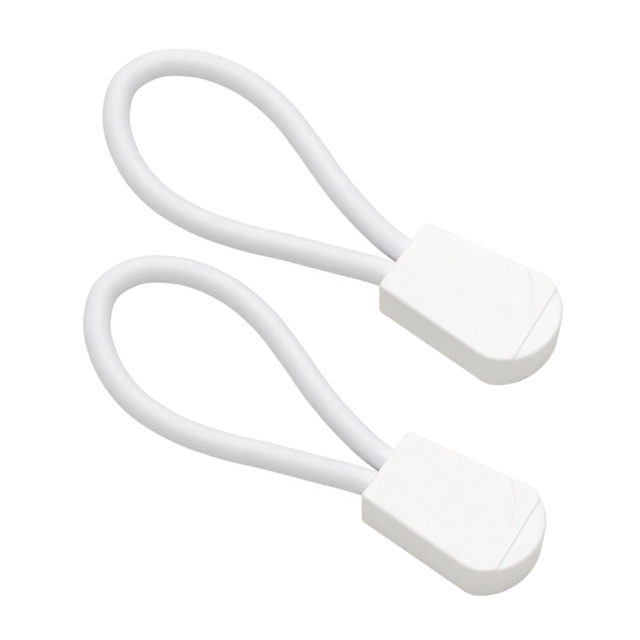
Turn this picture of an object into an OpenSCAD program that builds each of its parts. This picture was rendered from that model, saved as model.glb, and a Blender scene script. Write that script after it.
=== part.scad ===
// Pair of cord zipper pulls. Each is a loop of round elastic cord whose two ends
// are moulded side by side into a flat plastic tab. Millimetres, Z up from the
// surface on which the pair lies. X runs along each pull, from loop to tip.

/* [Tab] */
// Length of the tab from the cord end to the tip
tab_len = 19.4; // [17:0.1:24]
// Width across the shoulders, where flanks and tip arc would meet
tab_w = 12.4; // [10.5:0.1:16]
// Width at the cord end
heel_w = 9.6; // [7.5:0.1:12]
// Thickness under the main face
tab_t = 5.8; // [5:0.1:8]
// Length of the rounded tip, from the shoulders on
tip_len = 4.6; // [3.5:0.1:5.2]
// Radius that rounds each shoulder
shoulder_r = 3; // [1:0.1:4]
// Radius of the two corners at the cord end
heel_r = 0.5; // [0.2:0.1:1.2]

/* [Grip] */
// Height of the raised crescent above the main face
grip_h = 0.15; // [0.1:0.05:0.5]
// Distance from the tip to the straight edge of the crescent
grip_setback = 2.5; // [1.5:0.1:3.5]
// Width of the crescent on the tab's centre line
grip_w = 1.3; // [0.8:0.1:3]
// Radius of the thumb rest that hollows the crescent
thumb_r = 7.8; // [6:0.1:10]
// Turn of the crescent about its straight edge, in degrees
grip_turn = 4.3; // [0:0.1:8]

/* [Cord] */
// Outer diameter of the braided cord
cord_d = 3; // [2.4:0.1:3.6]
// Diameter of the rubber core
core_d = 1.7; // [1.2:0.1:2.1]
// Plastic left between the two cord ends in the tab
leg_gap = 0.2; // [0.1:0.05:0.8]
// Solid plastic between the fused end and the tip
tip_solid = 5.7; // [4.8:0.1:7]
// Thickness of the fused end along the cord
fused_len = 2.2; // [1.5:0.1:3]
// Height of the fused end
fused_h = 3.7; // [3:0.1:4.4]

/* [Fit] */
// Clearance round the cord and the fused end inside the tab
mould_gap = 0.03; // [0.01:0.01:0.1]
// Clearance between rubber core and braid
core_gap = 0.05; // [0.02:0.01:0.1]
// Clearance between the loop and the cord ends, at the bend
bend_gap = 0.08; // [0.05:0.01:0.2]

/* [Pair] */
// Lead of the front pull along X
pair_dx = 12.4; // [0:0.1:20]
// Spacing of the two pulls across Y
pair_dy = 22.8; // [21:0.1:40]

/* [Hidden] */

// The free cord's route from one socket's mouth to the other, measured from the
// middle of the tab's cord end. The first and last points are the mouths. It is
// drawn for a cord of radius DRAWN_R that lies on the surface, and for mouths at
// DRAWN_Y to either side and DRAWN_Z up.
DRAWN_R = 1.5;
DRAWN_Y = 1.6;
DRAWN_Z = 2.9;
ROUTE = [
    [0, 1.6, 2.9], [-2, 1.8, 2.9], [-7, 3.2, 2.5], [-12, 5.3, 1.9],
    [-17, 7.8, 1.6], [-22, 9.9, 1.5], [-27.5, 10.8, 1.5], [-33, 9.8, 1.5],
    [-36.5, 7.4, 1.5], [-38, 3.6, 1.5], [-36.8, 0, 1.5], [-33, -3.9, 1.5],
    [-28, -6.2, 1.5], [-22.5, -6.6, 1.5], [-17, -5.7, 1.6], [-12, -4.3, 1.9],
    [-7, -3.2, 2.5], [-2, -2, 2.9], [0, -1.6, 2.9],
];
SIDES = 8;               // sides of the cord's swept tubes
CURVE = 96;              // segments of a full circle
MIN_WALL = 0.15;         // braid left round the core where the loop's ends are rounded

leg_z = tab_t / 2;       // height of the cord ends in the tab
leg_pitch = cord_d + leg_gap;   // spacing of the two cord ends
cord_r = cord_d / 2;
core_r = core_d / 2;
bore_r = core_r + core_gap;
facet = 1 / cos(180 / SIDES);   // puts the flats of a tube's sides at its true radius
fused_x = tab_len - tip_solid - fused_len;   // where the cord ends meet the fused end

// The more a point of the route is lifted, the more it goes with the mouths
function placed(p) =
    let (lift = (p[2] - DRAWN_R) / (DRAWN_Z - DRAWN_R))
    [
        p[0],
        p[1] + sign(p[1]) * lift * (leg_pitch / 2 - DRAWN_Y),
        cord_r + lift * (leg_z - cord_r)
    ];

loop = [for (i = [1 : len(ROUTE) - 2]) placed(ROUTE[i])];

// The loop bends about a line across both of its ends. The cord ends in the tab
// stop short of the spheres that the loop's rounded ends turn in.
leg_end_x = loop[0][0] + cord_r * facet + bend_gap;

// ---- tab outline ----

function arc(centre, r, from, to, steps) =
    [for (i = [0 : steps]) let (a = from + (to - from) * i / steps)
        centre + r * [cos(a), sin(a)]];

half_w = tab_w / 2;
half_heel = heel_w / 2;
flank_run = tab_len - tip_len;
flank_a = atan((half_w - half_heel) / flank_run);
tip_r = (half_w ^ 2 + tip_len ^ 2) / (2 * tip_len);
tip_x = tab_len - tip_r;

// Centre of the shoulder arc: a line parallel to the flank meets a smaller tip circle
line_m = tan(flank_a);
line_b = half_heel - shoulder_r / cos(flank_a);
quad_a = 1 + line_m ^ 2;
quad_b = line_b * line_m - tip_x;
quad_c = tip_x ^ 2 + line_b ^ 2 - (tip_r - shoulder_r) ^ 2;
shoulder_x = (sqrt(quad_b ^ 2 - quad_a * quad_c) - quad_b) / quad_a;
shoulder = [shoulder_x, line_b + line_m * shoulder_x];
shoulder_a = atan2(shoulder[1], shoulder[0] - tip_x);
heel = [heel_r, half_heel + heel_r * (line_m - 1 / cos(flank_a))];

function half_outline() = concat(
    arc([tip_x, 0], tip_r, 0, shoulder_a, 16),
    arc(shoulder, shoulder_r, shoulder_a, 90 + flank_a, 8),
    arc(heel, heel_r, 90 + flank_a, 180, 5)
);

function mirrored(points) =
    [for (i = [len(points) - 1 : -1 : 1]) [points[i][0], -points[i][1]]];

module tab_outline() {
    upper = half_outline();
    polygon(concat(upper, mirrored(upper)));
}

// ---- swept cord ----

function unit(v) = v / norm(v);

// Direction of the route at each of its points
function heading(points, i) =
    unit(points[min(i + 1, len(points) - 1)] - points[max(i - 1, 0)]);

// A ring of a tube: centre, direction and radius
function rings(points, r) =
    [for (i = [0 : len(points) - 1]) [points[i], heading(points, i), r]];

// A ring set off from one end of the route, out on the sphere round that end
function end_ring(points, i, side, angle, r) =
    let (dir = heading(points, i))
    [points[i] + side * cord_r * sin(angle) * dir, dir, r];

function ring_points(ring) =
    let (
        dir = ring[1],
        across = unit(cross([0, 0, 1], dir)),
        up = cross(dir, across)
    )
    [for (k = [0 : SIDES - 1]) let (a = 360 * (k + 0.5) / SIDES)
        ring[0] + ring[2] * facet * (cos(a) * across + sin(a) * up)];

function all_points(list) = [for (ring = list) each ring_points(ring)];

// Triangles between neighbouring rings whose points start at index first
function wall(count, first) =
    [for (i = [0 : count - 2], k = [0 : SIDES - 1])
        let (
            a = first + i * SIDES + k,
            b = first + i * SIDES + (k + 1) % SIDES
        )
        each [[a, a + SIDES, b], [b, a + SIDES, b + SIDES]]];

function flipped(faces) = [for (f = faces) [f[2], f[1], f[0]]];

// Triangles of the flat ring between an outer and an inner ring of points
function annulus(outer, inner) =
    [for (k = [0 : SIDES - 1])
        let (n = (k + 1) % SIDES)
        each [[outer + k, outer + n, inner + k], [outer + n, inner + n, inner + k]]];

module solid_tube(list) {
    last = (len(list) - 1) * SIDES;
    polyhedron(
        points = all_points(list),
        faces = concat(
            wall(len(list), 0),
            [[for (k = [0 : SIDES - 1]) k]],
            [[for (k = [SIDES - 1 : -1 : 0]) last + k]]
        )
    );
}

module hollow_tube(outer, inner) {
    first_in = len(outer) * SIDES;
    last_out = (len(outer) - 1) * SIDES;
    last_in = first_in + (len(inner) - 1) * SIDES;
    polyhedron(
        points = concat(all_points(outer), all_points(inner)),
        faces = concat(
            wall(len(outer), 0),
            flipped(wall(len(inner), first_in)),
            annulus(0, first_in),
            flipped(annulus(last_out, last_in))
        )
    );
}

// Angle at which the rounded end of the loop is cut flat
end_a = acos((bore_r + MIN_WALL) / cord_r);
last_point = len(loop) - 1;

function loop_braid_rings() = concat(
    [end_ring(loop, 0, -1, end_a, cord_r * cos(end_a))],
    [end_ring(loop, 0, -1, end_a / 2, cord_r * cos(end_a / 2))],
    rings(loop, cord_r),
    [end_ring(loop, last_point, 1, end_a / 2, cord_r * cos(end_a / 2))],
    [end_ring(loop, last_point, 1, end_a, cord_r * cos(end_a))]
);

function loop_core_rings(r) = concat(
    [end_ring(loop, 0, -1, end_a, r)],
    rings(loop, r),
    [end_ring(loop, last_point, 1, end_a, r)]
);

// ---- pieces of one pull, with the cord end of the tab at X = 0 ----

// A rod along X on each of the two socket axes
module leg_rods(r, from, to) {
    for (side = [-1, 1])
        translate([from, side * leg_pitch / 2, leg_z])
            rotate([0, 90, 0]) cylinder(h = to - from, r = r, $fn = 48);
}

// Block with round flanks that both cord ends melt into
module fused_block(grow) {
    r = fused_h / 2 + grow;
    from = fused_x - grow;
    to = fused_x + fused_len + grow;
    leg_rods(r, from, to);
    translate([from, -leg_pitch / 2, leg_z - r])
        cube([to - from, leg_pitch, 2 * r]);
}

module grip_outline() {
    intersection() {
        tab_outline();
        translate([tab_len - grip_setback, 0]) rotate(grip_turn)
            difference() {
                translate([-tab_len, -tab_w]) square([tab_len, 2 * tab_w]);
                translate([-grip_w - thumb_r, 0]) circle(r = thumb_r, $fn = CURVE);
                translate([-2 * tab_len, -tab_w])
                    square([2 * tab_len - grip_w - thumb_r, 2 * tab_w]);
            }
    }
}

module tab() {
    color([0.95, 0.95, 0.94])
    difference() {
        union() {
            linear_extrude(tab_t) tab_outline();
            linear_extrude(tab_t + grip_h) grip_outline();
        }
        leg_rods(cord_r + mould_gap, -1, fused_x);
        fused_block(mould_gap);
    }
}

module cord_loop() {
    color([0.93, 0.93, 0.95])
    hollow_tube(loop_braid_rings(), loop_core_rings(bore_r));
}

module core_loop() {
    color([0.86, 0.82, 0.72]) solid_tube(loop_core_rings(core_r));
}

module cord_legs() {
    color([0.93, 0.93, 0.95])
    difference() {
        leg_rods(cord_r, leg_end_x, fused_x);
        leg_rods(bore_r, leg_end_x - 1, fused_x + 1);
    }
}

module core_legs() {
    color([0.86, 0.82, 0.72]) leg_rods(core_r, leg_end_x, fused_x);
}

module fused_end() {
    color([0.88, 0.88, 0.86]) fused_block(0);
}

// ---- the pair, centred on its two tabs ----

module rear() {
    translate([-(tab_len + pair_dx) / 2, pair_dy / 2, 0]) children();
}

module front() {
    translate([(pair_dx - tab_len) / 2, -pair_dy / 2, 0]) children();
}

rear() tab();  // rear_tab
rear() cord_loop();  // rear_cord_loop
rear() core_loop();  // rear_core_loop
rear() cord_legs();  // rear_cord_legs
rear() core_legs();  // rear_core_legs
rear() fused_end();  // rear_fused_end
front() tab();  // front_tab
front() cord_loop();  // front_cord_loop
front() core_loop();  // front_core_loop
front() cord_legs();  // front_cord_legs
front() core_legs();  // front_core_legs
front() fused_end();  // front_fused_end
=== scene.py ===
"""Looks of a pair of white cord zipper pulls.

Each pull is a loop of round elastic cord whose two ends are moulded side by side
into a flat plastic tab with a raised grip near its tip. Metres throughout; X runs
along each pull from loop to tip, and Z is up from the surface they lie on.
"""

import math

import bmesh
import bpy
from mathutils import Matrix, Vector


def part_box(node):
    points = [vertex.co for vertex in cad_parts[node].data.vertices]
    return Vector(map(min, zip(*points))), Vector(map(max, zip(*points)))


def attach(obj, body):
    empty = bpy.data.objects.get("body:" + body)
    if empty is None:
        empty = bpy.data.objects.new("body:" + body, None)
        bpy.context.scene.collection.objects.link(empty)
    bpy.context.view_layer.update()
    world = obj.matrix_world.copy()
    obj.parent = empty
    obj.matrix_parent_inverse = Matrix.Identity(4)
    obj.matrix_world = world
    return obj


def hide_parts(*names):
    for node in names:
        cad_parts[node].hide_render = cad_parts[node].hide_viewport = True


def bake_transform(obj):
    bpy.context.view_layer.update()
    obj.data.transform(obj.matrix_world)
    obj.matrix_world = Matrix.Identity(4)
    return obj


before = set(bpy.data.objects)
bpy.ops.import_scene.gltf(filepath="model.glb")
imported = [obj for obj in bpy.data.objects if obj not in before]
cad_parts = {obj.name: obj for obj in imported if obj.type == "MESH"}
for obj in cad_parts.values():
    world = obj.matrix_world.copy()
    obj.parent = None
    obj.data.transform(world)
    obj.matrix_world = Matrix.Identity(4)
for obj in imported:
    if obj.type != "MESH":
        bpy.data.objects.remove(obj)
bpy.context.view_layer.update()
MM = 0.001

# ---- camera ----
# A very long lens set 60 degrees above the surface, turned so that the pulls run down
# to the right with their tips nearest.

LOOK_AT = Vector((-20.55, 2.35, 0)) * MM
CAMERA_DISTANCE = 2.0
CAMERA_TURN = math.radians(32.8)
CAMERA_HEIGHT = math.radians(60.4)
LENS_MM = 1042
SENSOR_MM = 36

away = Vector((-math.sin(CAMERA_TURN), math.cos(CAMERA_TURN), 0))
to_camera = Vector((0, 0, math.sin(CAMERA_HEIGHT))) - away * math.cos(CAMERA_HEIGHT)
camera = bpy.data.objects.new("camera", bpy.data.cameras.new("camera"))
camera.data.lens = LENS_MM
camera.data.sensor_width = SENSOR_MM
camera.data.clip_start = 0.01
camera.location = LOOK_AT + to_camera * CAMERA_DISTANCE
camera.rotation_mode = "QUATERNION"
camera.rotation_quaternion = (-to_camera).to_track_quat("-Z", "Y")
bpy.context.scene.collection.objects.link(camera)
bpy.context.scene.camera = camera

# ---- braided sheath of the cord ----
# One length of 3 mm elastic cord for each pull, cut square and moulded into the tab
# at both ends. The sheath is a tube of sixteen columns of fine polyester yarn, woven
# so steeply that its stitches lie almost straight across the cord.

CORD_R = 1.5 * MM            # to the crests of the yarn
BORE_R = 0.9 * MM            # inside the sheath
LEG_DEPTH = 11.5 * MM        # of each cord end in its socket
LEG_Y = 1.6 * MM
LEG_Z = 2.9 * MM
# Free route from one socket's mouth to the other, from the middle of the cord end
ROUTE_MM = [
    (0, 1.6, 2.9), (-2, 1.8, 2.9), (-7, 3.2, 2.5), (-12, 5.3, 1.9), (-17, 7.8, 1.6),
    (-22, 9.9, 1.5), (-27.5, 10.8, 1.5), (-33, 9.8, 1.5), (-36.5, 7.4, 1.5),
    (-38, 3.6, 1.5), (-36.8, 0, 1.5), (-33, -3.9, 1.5), (-28, -6.2, 1.5),
    (-22.5, -6.6, 1.5), (-17, -5.7, 1.6), (-12, -4.3, 1.9), (-7, -3.2, 2.5),
    (-2, -2, 2.9), (0, -1.6, 2.9),
]
COLUMNS = 16                 # columns of stitches round the cord
STITCH = 0.24 * MM           # from one stitch to the next along a column
SLANT = 0.35                 # how far a stitch leans across its column, in stitches
YARN_RELIEF = 0.035 * MM     # from the valleys of the braid to its crests
CROWN = 0.2                  # share of that lost towards the sides of a column
RING_STEP = 0.06 * MM        # a quarter of a stitch
LEG_STEP = 0.5 * MM          # inside the tab, where nothing shows
BORE_STEP = 0.4 * MM         # inside the sheath
SIDES = 3 * COLUMNS
FINE_TO_ROUTE = 40           # steps of the smooth curve for each span of the route
SOCKET_LEAD = 0.1            # share of a socket that the curve starts inside


def smooth_route(points):
    """A curve through the points, as many short straight steps."""
    spans = [(b - a).length for a, b in zip(points, points[1:])]
    slopes = [(b - a) / s for a, b, s in zip(points, points[1:], spans)]
    headings = [slopes[0]]
    for i in range(1, len(slopes)):
        before, after = spans[i - 1], spans[i]
        headings.append((slopes[i - 1] * after + slopes[i] * before) / (before + after))
    headings.append(slopes[-1])
    line = []
    for i, span in enumerate(spans):
        for step in range(FINE_TO_ROUTE):
            t = step / FINE_TO_ROUTE
            line.append(
                points[i] * (2 * t**3 - 3 * t**2 + 1)
                + headings[i] * span * (t**3 - 2 * t**2 + t)
                + points[i + 1] * (3 * t**2 - 2 * t**3)
                + headings[i + 1] * span * (t**3 - t**2)
            )
    return line + [points[-1]]


def stepped(line, step):
    """The line again, with its points the same distance apart."""
    total = sum((b - a).length for a, b in zip(line, line[1:]))
    count = round(total / step)
    step = total / count
    out, walked, wanted = [line[0]], 0, step
    for a, b in zip(line, line[1:]):
        span = (b - a).length
        while wanted <= walked + span and len(out) < count:
            out.append(a.lerp(b, (wanted - walked) / span))
            wanted += step
        walked += span
    return out + [line[-1]]


def cord_path(loop_step, leg_step):
    """The whole cord from one cut end to the other, and how far along each point is."""
    mouth = [Vector(p) * MM for p in ROUTE_MM]
    lead = Vector((LEG_DEPTH, 0, 0))
    # A point inside each socket makes the curve leave it straight, and is then dropped
    inside = lead * SOCKET_LEAD
    guide = [mouth[0] + inside] + mouth + [mouth[-1] + inside]
    free = smooth_route(guide)[FINE_TO_ROUTE:-FINE_TO_ROUTE]
    loop = stepped(free, loop_step)
    leg = stepped([mouth[0] + lead, mouth[0]], leg_step)
    other = stepped([mouth[-1], mouth[-1] + lead], leg_step)
    path = leg[:-1] + loop + other[1:]
    along = [0.0]
    for a, b in zip(path, path[1:]):
        along.append(along[-1] + (b - a).length)
    return path, along


def ring_frames(path):
    """The across and up directions of the cord at each of its points."""
    out = []
    for i in range(len(path)):
        ahead = (path[min(i + 1, len(path) - 1)] - path[max(i - 1, 0)]).normalized()
        across = Vector((0, 0, 1)).cross(ahead).normalized()
        out.append((across, ahead.cross(across)))
    return out


def yarn_radius(s, column):
    """Radius of the sheath at a distance along the cord and a place round it."""
    place = column % 1
    way = -1 if int(column) % 2 else 1
    lean = SLANT * (place - 0.5) * way
    phase = s / STITCH + lean
    crest = 0.5 - 0.5 * math.cos(2 * math.pi * phase)
    height = (1 - CROWN + CROWN * math.sin(math.pi * place)) * crest
    return CORD_R - YARN_RELIEF * (1 - height)


def tube(name, path, along, radius, sides, bore=None):
    """A closed tube as a mesh object. Its UV map runs in millimetres along it and in
    columns of stitches round it. A bore is given as its own path, distances along it
    and radius, and has one side for each column."""
    points, faces, maps = [], [], []

    def wall(path, along, radius_at, sides):
        """One wall, facing outwards if it is the first and inwards if it is the bore."""
        first = len(points)
        for centre, (across, up), s in zip(path, ring_frames(path), along):
            for k in range(sides):
                a = 2 * math.pi * k / sides
                r = radius_at(s, k * COLUMNS / sides)
                points.append(centre + (across * math.cos(a) + up * math.sin(a)) * r)
        for i in range(len(path) - 1):
            for k in range(sides):
                n = (k + 1) % sides
                row, nxt = first + i * sides, first + (i + 1) * sides
                face = (row + k, nxt + k, nxt + n, row + n)
                u0, u1 = along[i] / MM, along[i + 1] / MM
                v0, v1 = k * COLUMNS / sides, (k + 1) * COLUMNS / sides
                uv = ((u0, v0), (u1, v0), (u1, v1), (u0, v1))
                inward = first > 0
                faces.append(face[::-1] if inward else face)
                maps.append(uv[::-1] if inward else uv)
        return first, first + (len(path) - 1) * sides

    start, end = wall(path, along, radius, sides)
    if bore:
        bore_path, bore_along, bore_radius = bore
        inner, inner_end = wall(
            bore_path, bore_along, lambda s, column: bore_radius, COLUMNS
        )
        per_side = sides // COLUMNS
        for k in range(COLUMNS):
            n = (k + 1) % COLUMNS
            rim = [(k * per_side + i) % sides for i in range(per_side + 1)]
            faces.append([start + i for i in rim] + [inner + n, inner + k])
            faces.append(
                [end + i for i in reversed(rim)] + [inner_end + k, inner_end + n]
            )
            maps += [((0, 0),) * (per_side + 3)] * 2
    else:
        faces.append([start + k for k in range(sides)])
        faces.append([end + k for k in reversed(range(sides))])
        maps += [((0, 0),) * sides] * 2
    mesh = bpy.data.meshes.new(name)
    mesh.from_pydata(points, [], faces)
    layer = mesh.uv_layers.new(name="along_and_round")
    layer.data.foreach_set("uv", [x for face in maps for uv in face for x in uv])
    mesh.polygons.foreach_set("use_smooth", [True] * len(mesh.polygons))
    mesh.update()
    piece = bpy.data.objects.new(name, mesh)
    bpy.context.scene.collection.objects.link(piece)
    return piece


def linear(hex_colour):
    """An sRGB hex colour as the linear values that a shader takes."""
    parts = [int(hex_colour[i : i + 2], 16) / 255 for i in (1, 3, 5)]
    return [c / 12.92 if c <= 0.04045 else ((c + 0.055) / 1.055) ** 2.4 for c in parts] + [1]


def add_node(tree, kind, inputs=None, **settings):
    """One node with its settings, and each input either set or linked."""
    made = tree.nodes.new(kind)
    for name, value in settings.items():
        setattr(made, name, value)
    for name, value in (inputs or {}).items():
        if isinstance(value, bpy.types.NodeSocket):
            tree.links.new(value, made.inputs[name])
        else:
            made.inputs[name].default_value = value
    return made


def new_material(name):
    """An empty material, and its node tree."""
    made = bpy.data.materials.new(name)
    made.use_nodes = True
    made.node_tree.nodes.clear()
    return made, made.node_tree


def finish_material(tree, shader):
    """Ends a material's node tree with its shader."""
    output = tree.nodes.new("ShaderNodeOutputMaterial")
    tree.links.new(shader.outputs[0], output.inputs["Surface"])


# Bleached polyester filament: bright, with a soft sheen across the stitches, and painted
# shade that greys the gaps between them. The stitches are those of the mesh.
braid_material, tree = new_material("bleached_polyester_braid")
uv = add_node(tree, "ShaderNodeUVMap", uv_map="along_and_round")
split = add_node(tree, "ShaderNodeSeparateXYZ", {0: uv.outputs[0]})


def maths(operation, a, b=0.0, c=0.0):
    """The result of one sum in the braid's material."""
    return add_node(
        tree, "ShaderNodeMath", {0: a, 1: b, 2: c}, operation=operation
    ).outputs[0]


# The same crests and valleys as yarn_radius makes
along_cord, column = split.outputs[0], split.outputs[1]
place = maths("FRACT", column)
odd = maths("MODULO", maths("FLOOR", column), 2.0)
slant = maths("MULTIPLY_ADD", odd, -2 * SLANT, SLANT)
lean = maths("MULTIPLY", maths("SUBTRACT", place, 0.5), slant)
phase = maths("MULTIPLY_ADD", along_cord, MM / STITCH, lean)
wave = maths("COSINE", maths("MULTIPLY", phase, 2 * math.pi))
crest = maths("MULTIPLY_ADD", wave, -0.5, 0.5)
crown = maths("SINE", maths("MULTIPLY", place, math.pi))
height = maths("MULTIPLY", crest, maths("MULTIPLY_ADD", crown, CROWN, 1 - CROWN))
# Filaments run along each stitch, across the cord. Real ones are 0.02 mm apart and
# would not show, so they are drawn three times as coarse.
streak_place = add_node(
    tree,
    "ShaderNodeCombineXYZ",
    {0: maths("MULTIPLY", phase, 4.0), 1: maths("MULTIPLY", column, 0.7)},
)
streaks = add_node(
    tree,
    "ShaderNodeTexNoise",
    {"Vector": streak_place.outputs[0], "Scale": 1.0, "Detail": 2.0},
).outputs["Fac"]
# Slow changes of tone, over about 3 mm along the cord
patches = add_node(
    tree,
    "ShaderNodeTexNoise",
    {"Vector": uv.outputs[0], "Scale": 0.35, "Detail": 3.0, "Roughness": 0.6},
).outputs["Fac"]
# Painted shade: the low valleys between stitches are painted greyer than the crests
streaks_and_painted_valley_shade = maths("MULTIPLY_ADD", streaks, 0.25, maths("MULTIPLY", height, 0.4))
tone = maths("ADD", streaks_and_painted_valley_shade, maths("MULTIPLY_ADD", patches, 0.3, 0.03))
# The grey end serves the darker filaments, the slow patches and the painted valley shade
colour = add_node(
    tree,
    "ShaderNodeMix",
    {"Factor": tone, 6: linear("#dddce2"), 7: linear("#fafafc")},
    data_type="RGBA",
    clamp_factor=True,
)
yarn_height = maths("MULTIPLY_ADD", streaks, 0.5, height)
relief = add_node(
    tree,
    "ShaderNodeBump",
    {"Strength": 0.3, "Distance": 0.03 * MM, "Height": yarn_height},
)
shader = add_node(
    tree,
    "ShaderNodeBsdfPrincipled",
    {
        "Base Color": colour.outputs[2],
        "Roughness": 0.55,
        "IOR": 1.57,
        "Sheen Weight": 0.15,
        "Sheen Roughness": 0.4,
        "Normal": relief.outputs[0],
    },
)
finish_material(tree, shader)

path, along = cord_path(RING_STEP, LEG_STEP)
bore_path, bore_along = cord_path(BORE_STEP, LEG_STEP)

PULLS = ("rear", "front")
cord_end = {}                # middle of each tab's cord end, on the surface
for pull in PULLS:
    low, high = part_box(pull + "_tab")
    cord_end[pull] = Vector((low.x, (low.y + high.y) / 2, 0))

sheaths = {}
for pull in PULLS:
    shift = cord_end[pull]
    placed = [p + shift for p in path]
    bore = ([p + shift for p in bore_path], bore_along, BORE_R)
    sheath = tube(pull + "_cord_sheath", placed, along, yarn_radius, SIDES, bore)
    sheath.data.materials.append(braid_material)
    sheaths[pull] = (sheath, placed)

# ---- rubber core of the cord ----
# A bundle of natural latex threads pressed into one round strand, a little thinner
# than the sheath's bore. It runs the cord's whole length and never shows.

CORE_R = 0.85 * MM
CORE_THREADS = 9
THREAD_GROOVE = 0.05 * MM    # depth between two threads
CORE_SIDES = 4 * CORE_THREADS


def thread_radius(s, column):
    """Radius of the core, with a shallow groove between each two of its threads."""
    turn = column / COLUMNS
    return CORE_R - THREAD_GROOVE * abs(math.cos(math.pi * CORE_THREADS * turn))


# Cured natural latex: dull, yellowish, faintly translucent, dusted with talc
core_material, tree = new_material("natural_latex_thread")
where = add_node(tree, "ShaderNodeTexCoord").outputs["Object"]
# Specks of talc, about 0.4 mm across
dust = add_node(
    tree, "ShaderNodeTexNoise", {"Vector": where, "Scale": 2500.0, "Detail": 4.0}
).outputs["Fac"]
colour = add_node(
    tree,
    "ShaderNodeMix",
    {"Factor": dust, 6: linear("#c9b489"), 7: linear("#e6dcc2")},
    data_type="RGBA",
)
relief = add_node(
    tree, "ShaderNodeBump", {"Strength": 0.3, "Distance": 0.02 * MM, "Height": dust}
)
shader = add_node(
    tree,
    "ShaderNodeBsdfPrincipled",
    {
        "Base Color": colour.outputs[2],
        "Roughness": 0.7,
        "IOR": 1.52,
        "Subsurface Weight": 0.2,
        "Subsurface Scale": 0.5 * MM,
        "Normal": relief.outputs[0],
    },
)
finish_material(tree, shader)

for pull in PULLS:
    shift = cord_end[pull]
    core = tube(
        pull + "_rubber_core",
        [p + shift for p in bore_path],
        bore_along,
        thread_radius,
        CORE_SIDES,
    )
    core.data.materials.append(core_material)
    sheath, placed = sheaths[pull]
    for piece in (sheath, core):
        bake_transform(piece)
    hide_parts(pull + "_cord_loop", pull + "_cord_legs")
    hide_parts(pull + "_core_loop", pull + "_core_legs")

# ---- tab ----
# A satin white PVC tab, injection moulded round both cord ends in one shot. A raised
# crescent near the tip gives the thumb a grip: hollowed on the side of the thumb
# rest, and dropping to the end of the tab in a straight step.

TAB_LEN = 19.4 * MM          # along the middle
TAB_T = 5.8 * MM
HALF_TAB = 6.2 * MM          # half the width where flanks and tip arc would meet
HALF_HEEL = 4.8 * MM         # half the width at the cord end
TIP_LEN = 4.6 * MM           # from where they would meet to the tip
SHOULDER_R = 3 * MM          # between flank and tip
HEEL_R = 0.5 * MM            # of the two upright edges at the cord end
TOP_ROUND = 0.38 * MM        # of the rim of the main face
FOOT_ROUND = 0.45 * MM       # of the rim of the underside
STEP_X = 16.9 * MM           # middle of the straight step
GRIP_TURN = math.radians(4.3)    # of the crescent, about the middle of that step
GRIP_W = 1.3 * MM            # least width of the crescent
THUMB_R = 7.8 * MM           # of the thumb rest's arc
ARC_RAMP = 0.35 * MM         # width of the slope up from the thumb rest
ARC_RISE = 0.14 * MM         # height of the crescent along that arc
STEP_RAMP = 0.2 * MM         # width of the slope down to the tip
GRIP_RISE = 0.15 * MM        # height of the crescent at the straight step
UNDERCUT = 0.6 * MM          # how far the foot of the tip is drawn back for a nail
UNDERCUT_X = 14 * MM         # where that begins
LAST_LINE_X = (18.15 * MM, 17.6 * MM)    # near and far end of the face's last line
SOCKET_R = 1.53 * MM
FUSED_LEN = 2.2 * MM
FUSED_R = 1.85 * MM          # half the height of the fused end
MOULD_GAP = 0.03 * MM        # round the fused end
SAME = 0.0001 * MM           # two places closer than this are one

FLANK_SLOPE = (HALF_TAB - HALF_HEEL) / (TAB_LEN - TIP_LEN)
TIP_R = (HALF_TAB**2 + TIP_LEN**2) / (2 * TIP_LEN)
TIP_X = TAB_LEN - TIP_R
# The shoulder's arc touches the flank and the tip's arc from inside. Its centre lies on
# a line beside the flank, where the quadratic a x^2 + 2 b x + c = 0 holds.
shoulder_line = HALF_HEEL - SHOULDER_R * math.hypot(1, FLANK_SLOPE)
a = 1 + FLANK_SLOPE**2
b = shoulder_line * FLANK_SLOPE - TIP_X
c = TIP_X**2 + shoulder_line**2 - (TIP_R - SHOULDER_R) ** 2
SHOULDER_X = (math.sqrt(b * b - a * c) - b) / a
SHOULDER_Y = shoulder_line + FLANK_SLOPE * SHOULDER_X
FLANK_END_X = SHOULDER_X - SHOULDER_R * math.sin(math.atan(FLANK_SLOPE))
TIP_START_X = TIP_X + (SHOULDER_X - TIP_X) * TIP_R / (TIP_R - SHOULDER_R)


def edge_y(x):
    """Half the tab's width at a distance from its cord end."""
    if x < FLANK_END_X:
        return HALF_HEEL + FLANK_SLOPE * x
    if x < TIP_START_X:
        return SHOULDER_Y + math.sqrt(SHOULDER_R**2 - (x - SHOULDER_X) ** 2)
    return math.sqrt(max(0, TIP_R**2 - (x - TIP_X) ** 2))


thumb_x = STEP_X - (GRIP_W + THUMB_R) * math.cos(GRIP_TURN)
thumb_y = -(GRIP_W + THUMB_R) * math.sin(GRIP_TURN)


def past_arc(x, y):
    """Distance outside the arc of the thumb rest."""
    return math.hypot(x - thumb_x, y - thumb_y) - THUMB_R


def past_step(x, y):
    """Distance beyond the straight step, towards the tip."""
    return (x - STEP_X) * math.cos(GRIP_TURN) + y * math.sin(GRIP_TURN)


HALVINGS = 40                # of the search below, which is far past what shows


def edge_meets(past, offset, side):
    """How far along the tab its edge meets a line set off from the arc or the step."""
    low, high = thumb_x, TAB_LEN
    for _ in range(HALVINGS):
        middle = (low + high) / 2
        if past(middle, side * edge_y(middle)) < offset:
            low = middle
        else:
            high = middle
    return low


# The face's cross lines, from the cord end to the tip: straight ones, and arcs round
# the thumb rest or the tip. Each runs from edge to edge, and they close up on the two
# slopes of the crescent.
ACROSS = (-1, -0.8, -0.65, -0.5, -0.33, -0.16, 0, 0.16, 0.33, 0.5, 0.65, 0.8, 1)
SLOPE_SHARES = (-0.5, -0.25, 0, 0.25, 0.5)
REST_LINES = 13              # between the cord end and the crescent
CREST_LINES = 9              # on top of the crescent
TIP_LINES = 1                # between the crescent and the last line


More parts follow.
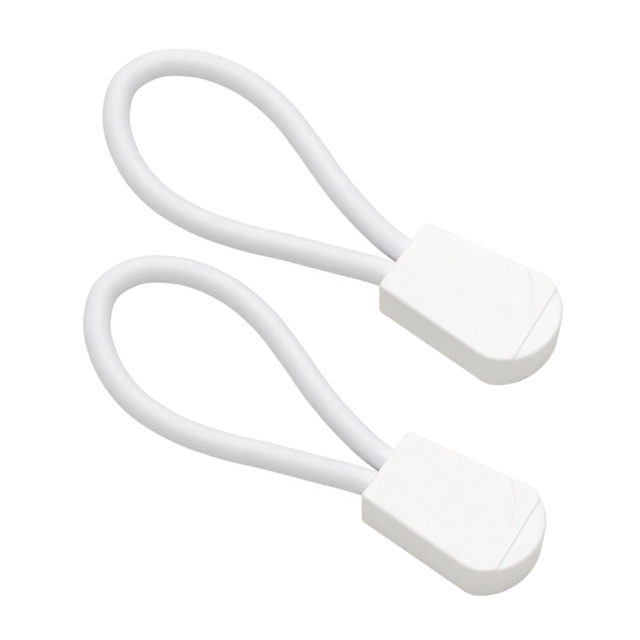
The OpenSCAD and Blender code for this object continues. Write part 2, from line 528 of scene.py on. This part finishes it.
def straight_line(near_x, far_x):
    """A straight line of the face between two places on its edges."""
    near, far = Vector((near_x, -edge_y(near_x))), Vector((far_x, edge_y(far_x)))
    return [near.lerp(far, (share + 1) / 2) for share in ACROSS]


def arc_line(near_x, far_x, centre_x, centre_y):
    """An arc of the face from its near edge to its far edge, round a centre."""
    centre, line = Vector((centre_x, centre_y)), []
    near = Vector((near_x, -edge_y(near_x))) - centre
    far = Vector((far_x, edge_y(far_x))) - centre
    start, end = math.atan2(near.y, near.x), math.atan2(far.y, far.x)
    for share in ACROSS:
        angle = start + (end - start) * (share + 1) / 2
        line.append(centre + near.length * Vector((math.cos(angle), math.sin(angle))))
    return line


def lines_between(before, after, count):
    """Evenly spaced lines, with their ends moved out to the tab's edge."""
    lines = []
    for k in range(1, count + 1):
        line = [a.lerp(b, k / (count + 1)) for a, b in zip(before, after)]
        line[0].y, line[-1].y = -edge_y(line[0].x), edge_y(line[-1].x)
        lines.append(line)
    return lines


cord_end_line = straight_line(0, 0)
arc_lines = [
    arc_line(*(edge_meets(past_arc, ARC_RAMP * k, s) for s in (-1, 1)), thumb_x, thumb_y)
    for k in SLOPE_SHARES
]
step_lines = [
    straight_line(*(edge_meets(past_step, STEP_RAMP * k, s) for s in (-1, 1)))
    for k in SLOPE_SHARES
]
last_line = arc_line(*LAST_LINE_X, TIP_X, 0)
face_lines = [cord_end_line]
face_lines += lines_between(cord_end_line, arc_lines[0], REST_LINES) + arc_lines
face_lines += lines_between(arc_lines[-1], step_lines[0], CREST_LINES) + step_lines
face_lines += lines_between(step_lines[-1], last_line, TIP_LINES) + [last_line]


def smooth_share(distance, start, width):
    """0 before the start and 1 beyond it by the width, with a soft curve between."""
    share = min(1, max(0, (distance - start) / width))
    return share * share * (3 - 2 * share)


def grip_rise(x, y):
    """Height of the raised crescent at a place on the face."""
    if x < thumb_x:
        return 0
    arc, step = past_arc(x, y), past_step(x, y)
    up = smooth_share(arc, -ARC_RAMP / 2, ARC_RAMP)
    drop = smooth_share(-step, -STEP_RAMP / 2, STEP_RAMP)
    from_arc = max(0, arc - ARC_RAMP / 2)
    to_step = max(1e-9, -step - STEP_RAMP / 2)
    top = ARC_RISE + (GRIP_RISE - ARC_RISE) * from_arc / (from_arc + to_step)
    return top * up * drop


def select_edges(piece, wanted):
    """Selects the edges for which wanted(edge) holds, in edit mode."""
    bpy.ops.mesh.select_mode(type="EDGE")
    bpy.ops.mesh.select_all(action="DESELECT")
    shape = bmesh.from_edit_mesh(piece.data)
    for edge in shape.edges:
        edge.select_set(wanted(edge))
    shape.select_flush_mode()
    bmesh.update_edit_mesh(piece.data)


def apply_modifier(piece, kind, **settings):
    """Adds one modifier with its settings, and applies it."""
    modifier = piece.modifiers.new(kind.lower(), kind)
    for name, value in settings.items():
        setattr(modifier, name, value)
    bpy.context.view_layer.objects.active = piece
    bpy.ops.object.modifier_apply(modifier=modifier.name)


def cut_away(piece, tool):
    """Cuts the tool's shape out of the piece, and removes the tool."""
    apply_modifier(piece, "BOOLEAN", operation="DIFFERENCE", object=tool, solver="EXACT")
    bpy.data.objects.remove(tool)


def select_only(piece):
    """Selects one piece and nothing else, and makes it the active one."""
    bpy.ops.object.select_all(action="DESELECT")
    piece.select_set(True)
    bpy.context.view_layer.objects.active = piece


def set_place(piece):
    """Puts the object's place and size into its mesh."""
    select_only(piece)
    bpy.ops.object.transform_apply(location=True, rotation=True, scale=True)


# The main face, as a grid shaped to the tab's outline
bpy.ops.object.select_all(action="DESELECT")
bpy.ops.mesh.primitive_grid_add(
    x_subdivisions=len(face_lines) - 1, y_subdivisions=len(ACROSS) - 1, size=1
)
tab = bpy.context.object
for vertex in tab.data.vertices:
    i = round((vertex.co.x + 0.5) * (len(face_lines) - 1))
    j = round((vertex.co.y + 0.5) * (len(ACROSS) - 1))
    vertex.co = (*face_lines[i][j], 0)
bpy.ops.object.mode_set(mode="EDIT")
bpy.ops.mesh.select_all(action="SELECT")
bpy.ops.mesh.extrude_region_move(TRANSFORM_OT_translate={"value": (0, 0, TAB_T)})


def is_heel_corner(edge):
    """True for the two upright edges at the cord end."""
    return all(v.co.x < SAME and abs(v.co.y) > HALF_HEEL - SAME for v in edge.verts)


def is_rim(edge, level):
    """True for an edge between a wall and the flat face at that height."""
    return (
        len(edge.link_faces) == 2
        and all(abs(v.co.z - level) < SAME for v in edge.verts)
        and any(abs(f.normal.z) < 0.1 for f in edge.link_faces)
    )


select_edges(tab, is_heel_corner)
bpy.ops.mesh.bevel(offset=HEEL_R, segments=5, affect="EDGES")
select_edges(tab, lambda edge: is_rim(edge, TAB_T))
bpy.ops.mesh.bevel(offset=TOP_ROUND, segments=5, affect="EDGES")
select_edges(tab, lambda edge: is_rim(edge, 0))
bpy.ops.mesh.bevel(offset=FOOT_ROUND, segments=5, affect="EDGES")
shape = bmesh.from_edit_mesh(tab.data)
for vertex in shape.verts:
    if vertex.co.z > TAB_T / 2:
        vertex.co.z += grip_rise(vertex.co.x, vertex.co.y)
    elif vertex.co.x > UNDERCUT_X:
        share = (vertex.co.x - UNDERCUT_X) / (TAB_LEN - UNDERCUT_X)
        vertex.co.x -= UNDERCUT * share * (1 - vertex.co.z / TAB_T)
bmesh.update_edit_mesh(tab.data)
bpy.ops.object.mode_set(mode="OBJECT")

# Sockets for the two cord ends, and the hollow round the fused end
for side in (1, -1):
    bpy.ops.mesh.primitive_cylinder_add(
        vertices=48,
        radius=SOCKET_R,
        depth=LEG_DEPTH + MM,
        location=((LEG_DEPTH - MM) / 2, side * LEG_Y, LEG_Z),
        rotation=(0, math.pi / 2, 0),
    )
    cut_away(tab, bpy.context.object)


def round_block(radius, grow):
    """The block, with half-round flanks, that both cord ends melt into."""
    bpy.ops.mesh.primitive_cube_add(
        size=1,
        location=(LEG_DEPTH + FUSED_LEN / 2, 0, LEG_Z),
        scale=(FUSED_LEN + 2 * grow, 2 * (LEG_Y + radius), 2 * radius),
    )
    block = bpy.context.object
    set_place(block)
    bpy.ops.object.mode_set(mode="EDIT")
    select_edges(block, lambda e: abs(e.verts[0].co.x - e.verts[1].co.x) > MM)
    # Just short of the radius, so that the two rounded edges of a flank don't meet
    bpy.ops.mesh.bevel(offset=radius * 0.999, segments=12, affect="EDGES")
    bpy.ops.object.mode_set(mode="OBJECT")
    return block


cut_away(tab, round_block(FUSED_R + MOULD_GAP, MOULD_GAP))
select_only(tab)
bpy.ops.object.shade_smooth_by_angle(angle=math.radians(50))
apply_modifier(tab, "WEIGHTED_NORMAL", keep_sharp=True)

# Soft white PVC from a lightly sparked mould: satin, a little translucent, and very
# faintly uneven in tone where the melt cooled at different rates.
tab_material, tree = new_material("satin_moulded_pvc")
where = add_node(tree, "ShaderNodeTexCoord").outputs["Object"]
# The tone drifts over about 2.4 mm
flow = add_node(
    tree,
    "ShaderNodeTexNoise",
    {"Vector": where, "Scale": 420.0, "Detail": 3.0, "Roughness": 0.6},
).outputs["Fac"]
# The spark texture is about 0.05 mm; drawn three times as coarse so that it shows
grain = add_node(
    tree,
    "ShaderNodeTexNoise",
    {"Vector": where, "Scale": 6500.0, "Detail": 2.0, "Roughness": 0.5},
).outputs["Fac"]
colour = add_node(
    tree,
    "ShaderNodeMix",
    {"Factor": flow, 6: linear("#f2f2f1"), 7: linear("#f8f8f7")},
    data_type="RGBA",
)
roughness = add_node(
    tree, "ShaderNodeMapRange", {"Value": grain, "To Min": 0.42, "To Max": 0.56}
)
height = add_node(tree, "ShaderNodeMath", {0: grain, 1: flow}, operation="ADD")
relief = add_node(
    tree,
    "ShaderNodeBump",
    {"Strength": 0.25, "Distance": 0.02 * MM, "Height": height.outputs[0]},
)
shader = add_node(
    tree,
    "ShaderNodeBsdfPrincipled",
    {
        "Base Color": colour.outputs[2],
        "Roughness": roughness.outputs[0],
        "IOR": 1.53,
        "Subsurface Weight": 0.15,
        "Subsurface Scale": 0.8 * MM,
        "Normal": relief.outputs[0],
    },
)
finish_material(tree, shader)
tab.data.materials.clear()
tab.data.materials.append(tab_material)


def place_copy(model, pull, part):
    """A copy of a piece, with its own mesh, moved into one of the two pulls."""
    piece = model.copy()
    piece.data = model.data.copy()
    piece.name = piece.data.name = pull + "_" + part
    bpy.context.scene.collection.objects.link(piece)
    piece.location = cord_end[pull]
    set_place(piece)
    return piece


for pull in PULLS:
    piece = place_copy(tab, pull, "moulded_tab")
    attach(piece, pull + "_pull")
    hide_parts(pull + "_tab")
bpy.data.objects.remove(tab)

# ---- fused end ----
# Before moulding, both cord ends are melted together with a hot blade. The lump of
# set polyester and rubber is wider than the sockets, so the cord can't pull out.

MELT_ROUND = 0.15 * MM       # of its edges
MELT_LUMPS = 0.7 * MM        # size of the dips in its surface
MELT_DIPS = 0.12 * MM        # and their depth

fused = round_block(FUSED_R, 0)
bpy.ops.object.mode_set(mode="EDIT")
bpy.ops.mesh.select_all(action="SELECT")
bpy.ops.mesh.bevel(offset=MELT_ROUND, segments=2, affect="EDGES")
bpy.ops.mesh.select_all(action="SELECT")
bpy.ops.mesh.quads_convert_to_tris()
bpy.ops.mesh.subdivide(number_cuts=2)
bpy.ops.object.mode_set(mode="OBJECT")
melt = bpy.data.textures.new("melt", "CLOUDS")
melt.noise_scale = MELT_LUMPS
# The melt only shrinks away from the hollow, and never reaches into it
apply_modifier(fused, "DISPLACE", texture=melt, strength=MELT_DIPS, mid_level=1.0)
select_only(fused)
bpy.ops.object.shade_smooth_by_angle(angle=math.radians(60))

# Polyester that has melted and set: glassy and cream, browned a little by the blade
fused_material, tree = new_material("set_polyester_melt")
where = add_node(tree, "ShaderNodeTexCoord").outputs["Object"]
# Scorched spots, about 1.1 mm across
scorch = add_node(
    tree,
    "ShaderNodeTexNoise",
    {"Vector": where, "Scale": 900.0, "Detail": 4.0, "Roughness": 0.65},
).outputs["Fac"]
colour = add_node(
    tree,
    "ShaderNodeMix",
    {"Factor": scorch, 6: linear("#b9a67e"), 7: linear("#ece8dc")},
    data_type="RGBA",
)
relief = add_node(
    tree, "ShaderNodeBump", {"Strength": 0.4, "Distance": 0.05 * MM, "Height": scorch}
)
shader = add_node(
    tree,
    "ShaderNodeBsdfPrincipled",
    {
        "Base Color": colour.outputs[2],
        "Roughness": 0.22,
        "IOR": 1.57,
        "Normal": relief.outputs[0],
    },
)
finish_material(tree, shader)
fused.data.materials.clear()
fused.data.materials.append(fused_material)
for pull in PULLS:
    piece = place_copy(fused, pull, "fused_lump")
    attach(piece, pull + "_pull")
    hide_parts(pull + "_fused_end")
bpy.data.objects.remove(fused)

# ---- floor and light ----
# A plain white sweep that the camera sees as clean white, while the pulls still get the
# light that plain paper would throw back. A soft light hangs overhead, and weaker ones
# stand behind the pulls, which leaves their near sides grey.

SWEEP_R = 3
SWEEP_GAP = 0.02 * MM        # under the pulls, so that no two faces share a place
CLEAN_WHITE = 1.06           # a little past full white
CLEANED = 0.9                # share of the paper that the camera sees as that white
ROOM_LIGHT = 0.4

bpy.ops.object.select_all(action="DESELECT")
bpy.ops.mesh.primitive_circle_add(
    vertices=64, radius=SWEEP_R, fill_type="NGON", location=(0, 0, -SWEEP_GAP)
)
floor = bpy.context.object
floor.name = "floor"
floor_material, tree = new_material("white_sweep")
paper = add_node(
    tree, "ShaderNodeBsdfDiffuse", {"Color": linear("#f6f4ef"), "Roughness": 0.5}
)
lit = add_node(
    tree, "ShaderNodeEmission", {"Color": (1, 1, 1, 1), "Strength": CLEAN_WHITE}
)
seen = add_node(tree, "ShaderNodeLightPath").outputs["Is Camera Ray"]
share = add_node(
    tree, "ShaderNodeMath", {0: seen, 1: CLEANED}, operation="MULTIPLY"
).outputs[0]
mixed = add_node(
    tree, "ShaderNodeMixShader", {0: share, 1: paper.outputs[0], 2: lit.outputs[0]}
)
finish_material(tree, mixed)
floor.data.materials.append(floor_material)

world = bpy.data.worlds.new("studio")
world.use_nodes = True
bpy.context.scene.world = world
tree = world.node_tree
tree.nodes.clear()
room = add_node(
    tree, "ShaderNodeBackground", {"Color": (1, 0.995, 0.98, 1), "Strength": ROOM_LIGHT}
)
white = add_node(
    tree, "ShaderNodeBackground", {"Color": (1, 1, 1, 1), "Strength": CLEAN_WHITE}
)
seen = add_node(tree, "ShaderNodeLightPath").outputs["Is Camera Ray"]
mixed = add_node(
    tree, "ShaderNodeMixShader", {0: seen, 1: room.outputs[0], 2: white.outputs[0]}
)
output = tree.nodes.new("ShaderNodeOutputWorld")
tree.links.new(mixed.outputs[0], output.inputs["Surface"])


def soft_light(name, place, size, watts):
    """A square white light that faces the pulls."""
    made = bpy.data.objects.new(name, bpy.data.lights.new(name, "AREA"))
    made.data.shape = "SQUARE"
    made.data.size = size
    made.data.energy = watts
    made.location = place
    made.rotation_mode = "QUATERNION"
    made.rotation_quaternion = (-place).to_track_quat("-Z", "Y")
    made.visible_camera = False
    bpy.context.scene.collection.objects.link(made)


up = Vector((0, 0, 1))
right = away.cross(up)
soft_light("overhead", up * 1.2, size=0.5, watts=6.5)
soft_light("back", away * 0.9 + up * 0.8, size=0.7, watts=3.1)
soft_light("left_back", away * 0.6 - right * 0.7 + up * 0.7, size=0.7, watts=0.6)

scene = bpy.context.scene
scene.view_settings.view_transform = "Standard"
scene.view_settings.look = "None"
